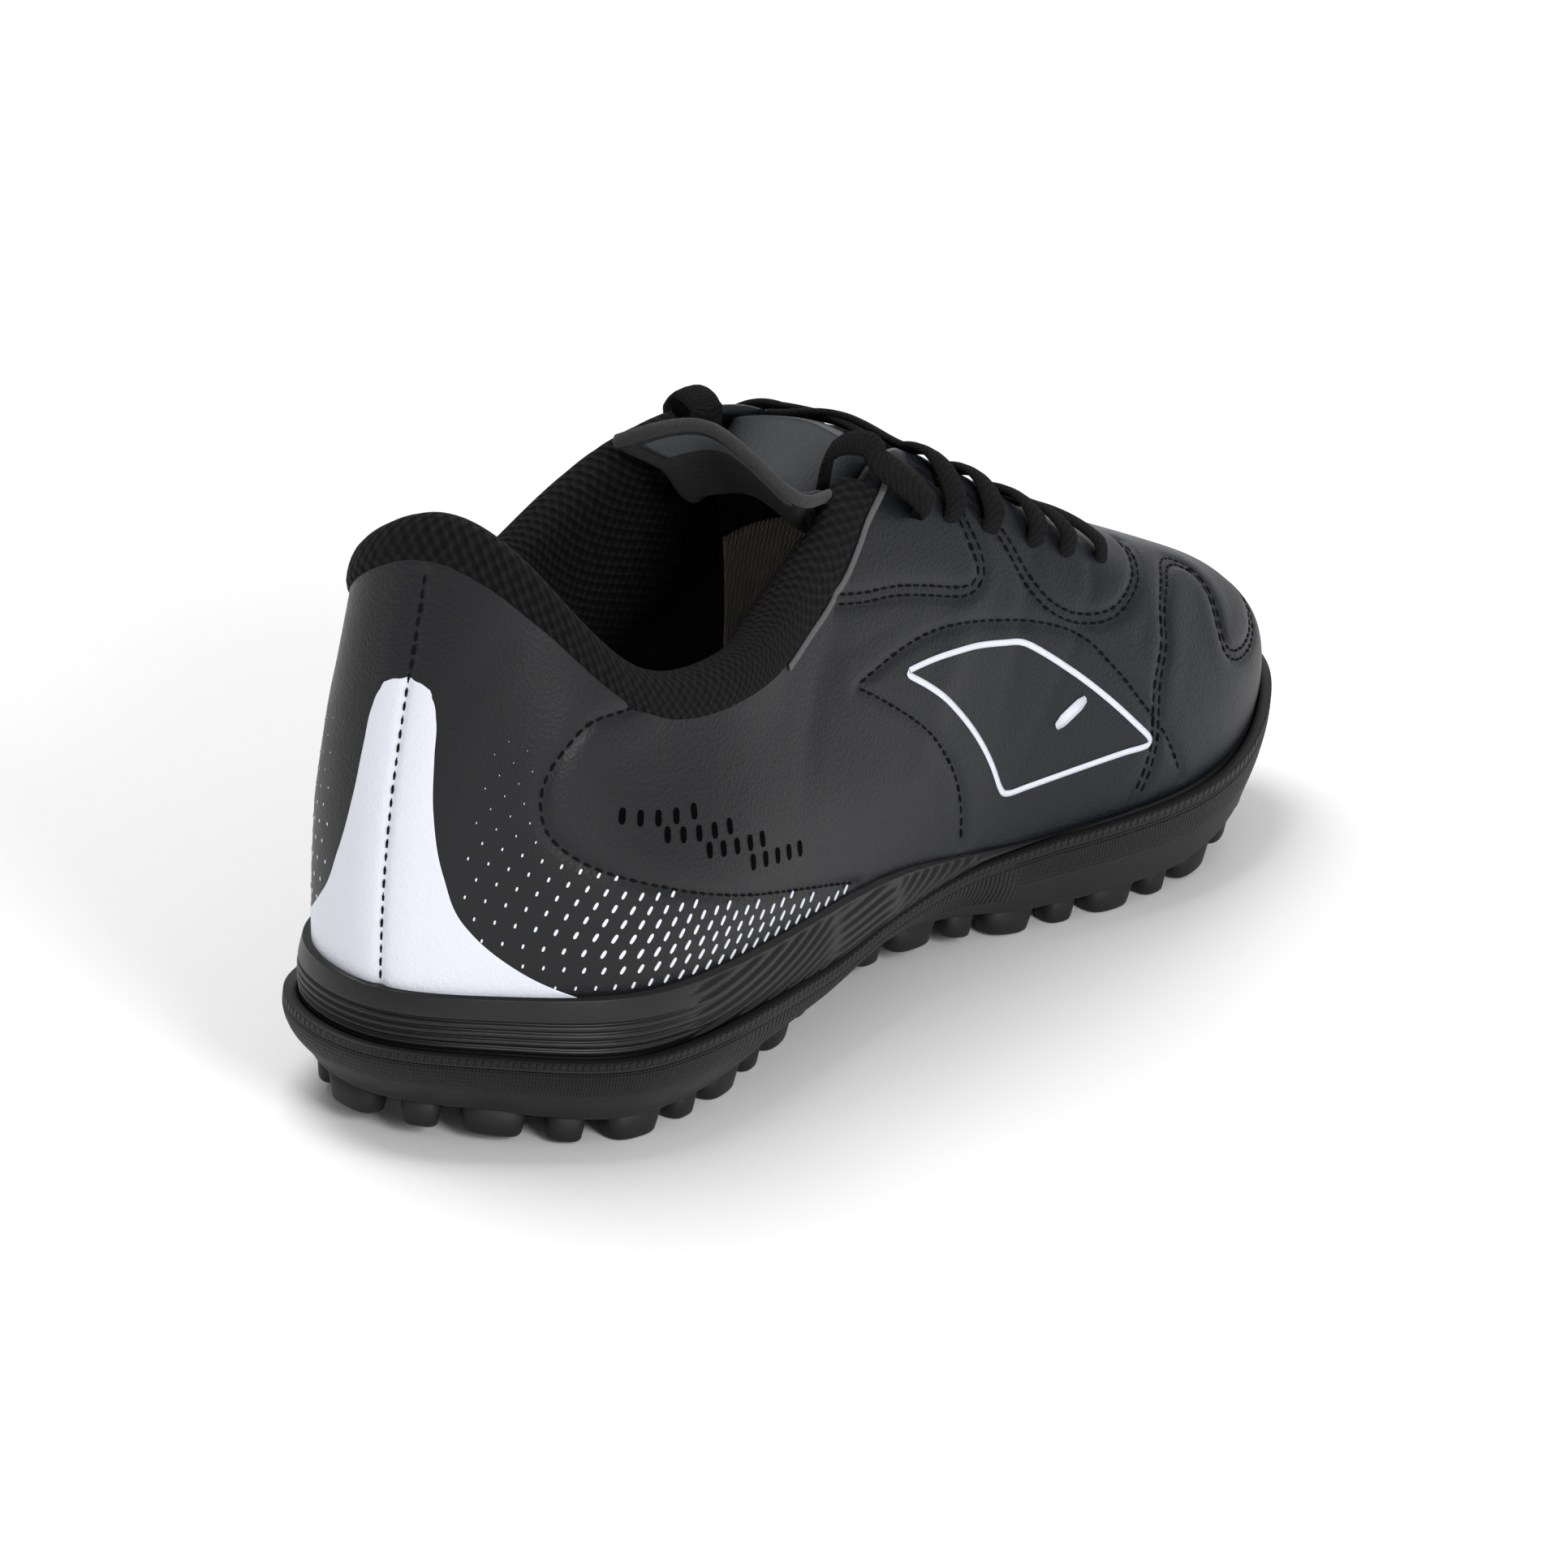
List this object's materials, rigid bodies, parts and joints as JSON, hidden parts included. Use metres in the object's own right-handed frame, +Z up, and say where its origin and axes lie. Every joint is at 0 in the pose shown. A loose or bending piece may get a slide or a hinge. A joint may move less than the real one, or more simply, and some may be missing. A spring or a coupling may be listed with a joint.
{
  "type": "turf shoe",
  "caption": "Low-cut lace-up turf shoe for the left foot, with a padded collar, a free tongue and a lugged rubber cup sole.",
  "frame": {"origin": "middle of the shoe's box, on the floor that the lugs stand on", "axes": "+X to the toe, +Y to the lateral side, +Z up"},
  "size_m": [0.2424, 0.081, 0.1056],
  "materials": {
    "outsole_rubber": "matt moulded rubber",
    "midsole_foam": "semi-gloss moulded foam skin",
    "insole_cloth": "pale grey brushed cloth",
    "upper_synthetic": "fine-grained synthetic leather with a soft sheen",
    "collar_knit": "ribbed mesh knit",
    "tongue_felt": "felt-backed synthetic",
    "facing_synthetic": "smooth synthetic leather",
    "lace_cotton": "flat woven cotton"
  },
  "bodies": {
    "root": {"outsole": "outsole_rubber", "midsole": "midsole_foam", "insole": "insole_cloth", "upper": "upper_synthetic", "collar_lining": "collar_knit", "tongue": "tongue_felt", "toe_overlay": "facing_synthetic", "heel_strip": "facing_synthetic", "eyestay_medial": "facing_synthetic", "lower_eyestay_medial": "facing_synthetic", "side_panel_medial": "facing_synthetic", "eyestay_lateral": "facing_synthetic", "lower_eyestay_lateral": "facing_synthetic", "side_panel_lateral": "facing_synthetic", "lace_crossing_1": "lace_cotton", "lace_crossing_2": "lace_cotton", "lace_crossing_3": "lace_cotton", "lace_crossing_4": "lace_cotton", "lace_crossing_5": "lace_cotton", "lace_end_medial": "lace_cotton", "lace_end_lateral": "lace_cotton"}
  },
  "joints": []
}
